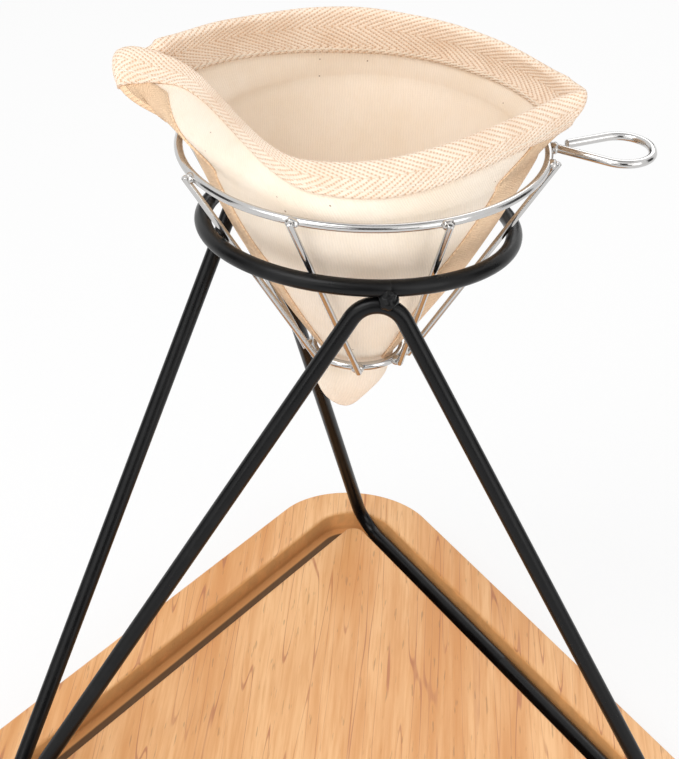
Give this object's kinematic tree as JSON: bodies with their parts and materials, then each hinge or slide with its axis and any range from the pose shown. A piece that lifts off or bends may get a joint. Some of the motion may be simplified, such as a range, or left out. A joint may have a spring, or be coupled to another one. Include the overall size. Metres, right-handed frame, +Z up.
{
  "type": "coffee filter stand",
  "caption": "Pour-over coffee stand: a cloth filter in a wire cone basket with a loop handle, on a bent black wire stand that stands in the groove of a triangular wooden tray.",
  "frame": {"origin": "on the table, under the middle of the tray's box", "axes": "+X to the user's right, +Y away from the user towards the tray's single back corner, +Z up"},
  "size_m": [0.2512, 0.2262, 0.2464],
  "materials": {
    "wood": "oiled",
    "black_wire": "satin black powder coat",
    "bright_wire": "polished",
    "cloth": "plain cotton",
    "tape": "herringbone cotton tape"
  },
  "bodies": {
    "base": {"tray": "wood"},
    "stand": {"support_ring": "black_wire", "front_arch": "black_wire", "left_arch": "black_wire", "floor_rail": "black_wire", "frame_welds": "black_wire"},
    "basket": {"top_ring": "bright_wire", "lower_ring": "bright_wire", "spoke_1": "bright_wire", "spoke_2": "bright_wire", "spoke_3": "bright_wire", "spoke_4": "bright_wire", "spoke_5": "bright_wire", "spoke_6": "bright_wire", "spoke_7": "bright_wire", "spoke_8": "bright_wire", "top_welds": "bright_wire", "lower_welds": "bright_wire", "loop_handle": "bright_wire", "handle_weld": "bright_wire"},
    "filter": {"front_panel": "cloth", "back_panel": "cloth", "front_rim_tape": "tape", "back_rim_tape": "tape", "left_seam_tape": "tape", "right_seam_tape": "tape"}
  },
  "joints": [
    {"name": "stand_lift", "type": "slide", "parent": "base", "child": "stand", "axis": [0, 0, 1], "range_m": [0, 0.06]},
    {"name": "basket_lift", "type": "slide", "parent": "stand", "child": "basket", "axis": [0, 0, 1], "range_m": [0, 0.09]},
    {"name": "filter_lift", "type": "slide", "parent": "basket", "child": "filter", "axis": [-0.0313, -0.0785, 0.9964], "range_m": [0, 0.12]}
  ]
}
